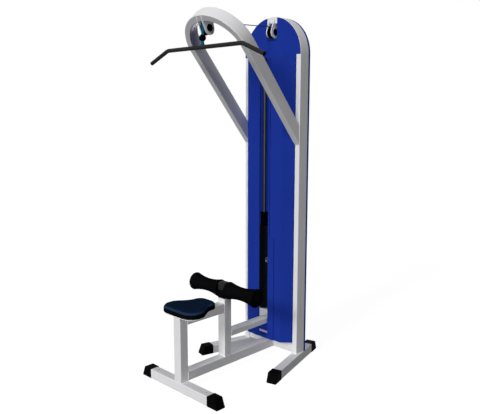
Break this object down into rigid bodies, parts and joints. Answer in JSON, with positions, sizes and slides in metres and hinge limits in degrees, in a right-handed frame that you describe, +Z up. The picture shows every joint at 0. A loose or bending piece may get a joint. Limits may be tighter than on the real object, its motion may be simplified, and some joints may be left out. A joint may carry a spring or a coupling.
{
  "type": "lat pulldown machine",
  "caption": "Lat pulldown machine: a seat and foam thigh rollers on a tube frame before a covered weight tower, with a belt over pulleys on a leaning arm and a wide bar.",
  "frame": {"origin": "on the floor, under the middle of the foot bar at the front", "axes": "+X to the machine's left, across it; +Y from the seat back to the weight tower; +Z up"},
  "size_m": [0.966, 1.1307, 2.2366],
  "materials": {
    "white_paint": "gloss powder coat",
    "blue_paint": "satin powder coat",
    "black_paint": "satin black powder coat",
    "dark_steel": "grey powder coat",
    "zinc_steel": "zinc plated",
    "chrome_steel": "polished",
    "cast_plates": "black enamel",
    "black_plastic": "fine textured",
    "belt_weave": "tight webbing",
    "rubber_black": "matte",
    "foam_skin": "closed-cell foam",
    "seat_vinyl": "vinyl cover"
  },
  "bodies": {
    "frame": {"foot_bar": "white_paint", "foot_bar_caps": "black_plastic", "cap_screws": "zinc_steel", "front_post": "white_paint", "base_beam": "white_paint", "seat_beam": "white_paint", "thigh_post": "white_paint", "link_beam": "white_paint", "base_rail_left": "white_paint", "base_rail_right": "white_paint", "rail_front_caps": "black_plastic", "rail_rear_caps": "black_plastic", "rear_cross_beam": "white_paint", "stack_beam": "white_paint", "tower_hoop": "white_paint", "arm_hoop": "white_paint", "rod_top_plate": "white_paint", "front_cover": "blue_paint", "back_cover": "blue_paint", "guide_rod_left": "chrome_steel", "guide_rod_right": "chrome_steel", "rod_collars": "zinc_steel", "stack_bumpers": "rubber_black", "resting_plates": "cast_plates", "arm_pulley_plates": "white_paint", "tower_pulley_plates": "white_paint", "pulley_axles": "zinc_steel", "axle_spacers": "zinc_steel", "pulley_hub_caps": "black_plastic", "belt_top_run": "belt_weave", "belt_front_drop": "belt_weave", "belt_rear_drop": "belt_weave", "seat_plate": "white_paint", "seat_pad": "seat_vinyl", "seat_bolts": "zinc_steel", "axle_saddle": "black_plastic", "axle_clamp": "dark_steel", "clamp_screws": "zinc_steel", "roller_axle": "zinc_steel", "axle_end_caps": "black_plastic"},
    "carriage": {"top_plate": "cast_plates", "lifted_plates": "cast_plates", "selector_rod": "zinc_steel", "guide_sleeves": "black_plastic", "belt_clevis": "dark_steel", "clevis_pin": "zinc_steel", "belt_rear_end": "belt_weave"},
    "selector": {"selector_pin": "chrome_steel"},
    "hanger": {"ball_stop": "rubber_black", "belt_front_end": "belt_weave"},
    "bar": {"lat_bar": "black_paint", "bar_bracket": "black_paint", "hanger_pin": "zinc_steel", "bar_end_plugs": "black_plastic"},
    "front_pulley": {"front_sheave": "black_plastic", "front_bearing": "zinc_steel"},
    "tower_pulley": {"tower_sheave": "black_plastic", "tower_bearing": "zinc_steel"},
    "roller_left": {"thigh_roller_left": "foam_skin"},
    "roller_right": {"thigh_roller_right": "foam_skin"}
  },
  "joints": [
    {"name": "stack_lift", "type": "slide", "parent": "frame", "child": "carriage", "axis": [0, 0, 1], "range_m": [0, 0.9], "deforming": ["belt_rear_drop"]},
    {"name": "bar_pull", "type": "slide", "parent": "frame", "child": "hanger", "axis": [0, 0, -1], "range_m": [0, 0.9], "deforming": ["belt_front_drop"]},
    {"name": "bar_swing", "type": "hinge", "parent": "hanger", "child": "bar", "pos_m": [0, 0.19492, 2.02196], "axis": [1, 0, 0], "range_deg": [-40, 40]},
    {"name": "front_pulley_spin", "type": "hinge", "parent": "frame", "child": "front_pulley", "pos_m": [0, 0.22942, 2.11846], "axis": [1, 0, 0], "continuous": true},
    {"name": "tower_pulley_spin", "type": "hinge", "parent": "frame", "child": "tower_pulley", "pos_m": [0, 0.7925, 2.1425], "axis": [1, 0, 0], "continuous": true},
    {"name": "selector_pull", "type": "slide", "parent": "carriage", "child": "selector", "axis": [0, -1, 0], "range_m": [0, 0.065]},
    {"name": "left_roller_spin", "type": "hinge", "parent": "frame", "child": "roller_left", "pos_m": [0.155, 0.36, 0.549], "axis": [1, 0, 0], "continuous": true},
    {"name": "right_roller_spin", "type": "hinge", "parent": "frame", "child": "roller_right", "pos_m": [-0.155, 0.36, 0.549], "axis": [1, 0, 0], "continuous": true}
  ],
  "couplings": [
    {"joint": "bar_pull", "follows": "stack_lift", "ratio": 1},
    {"joint": "front_pulley_spin", "follows": "stack_lift", "rad_per_m": 28.986},
    {"joint": "tower_pulley_spin", "follows": "stack_lift", "rad_per_m": 28.986}
  ]
}
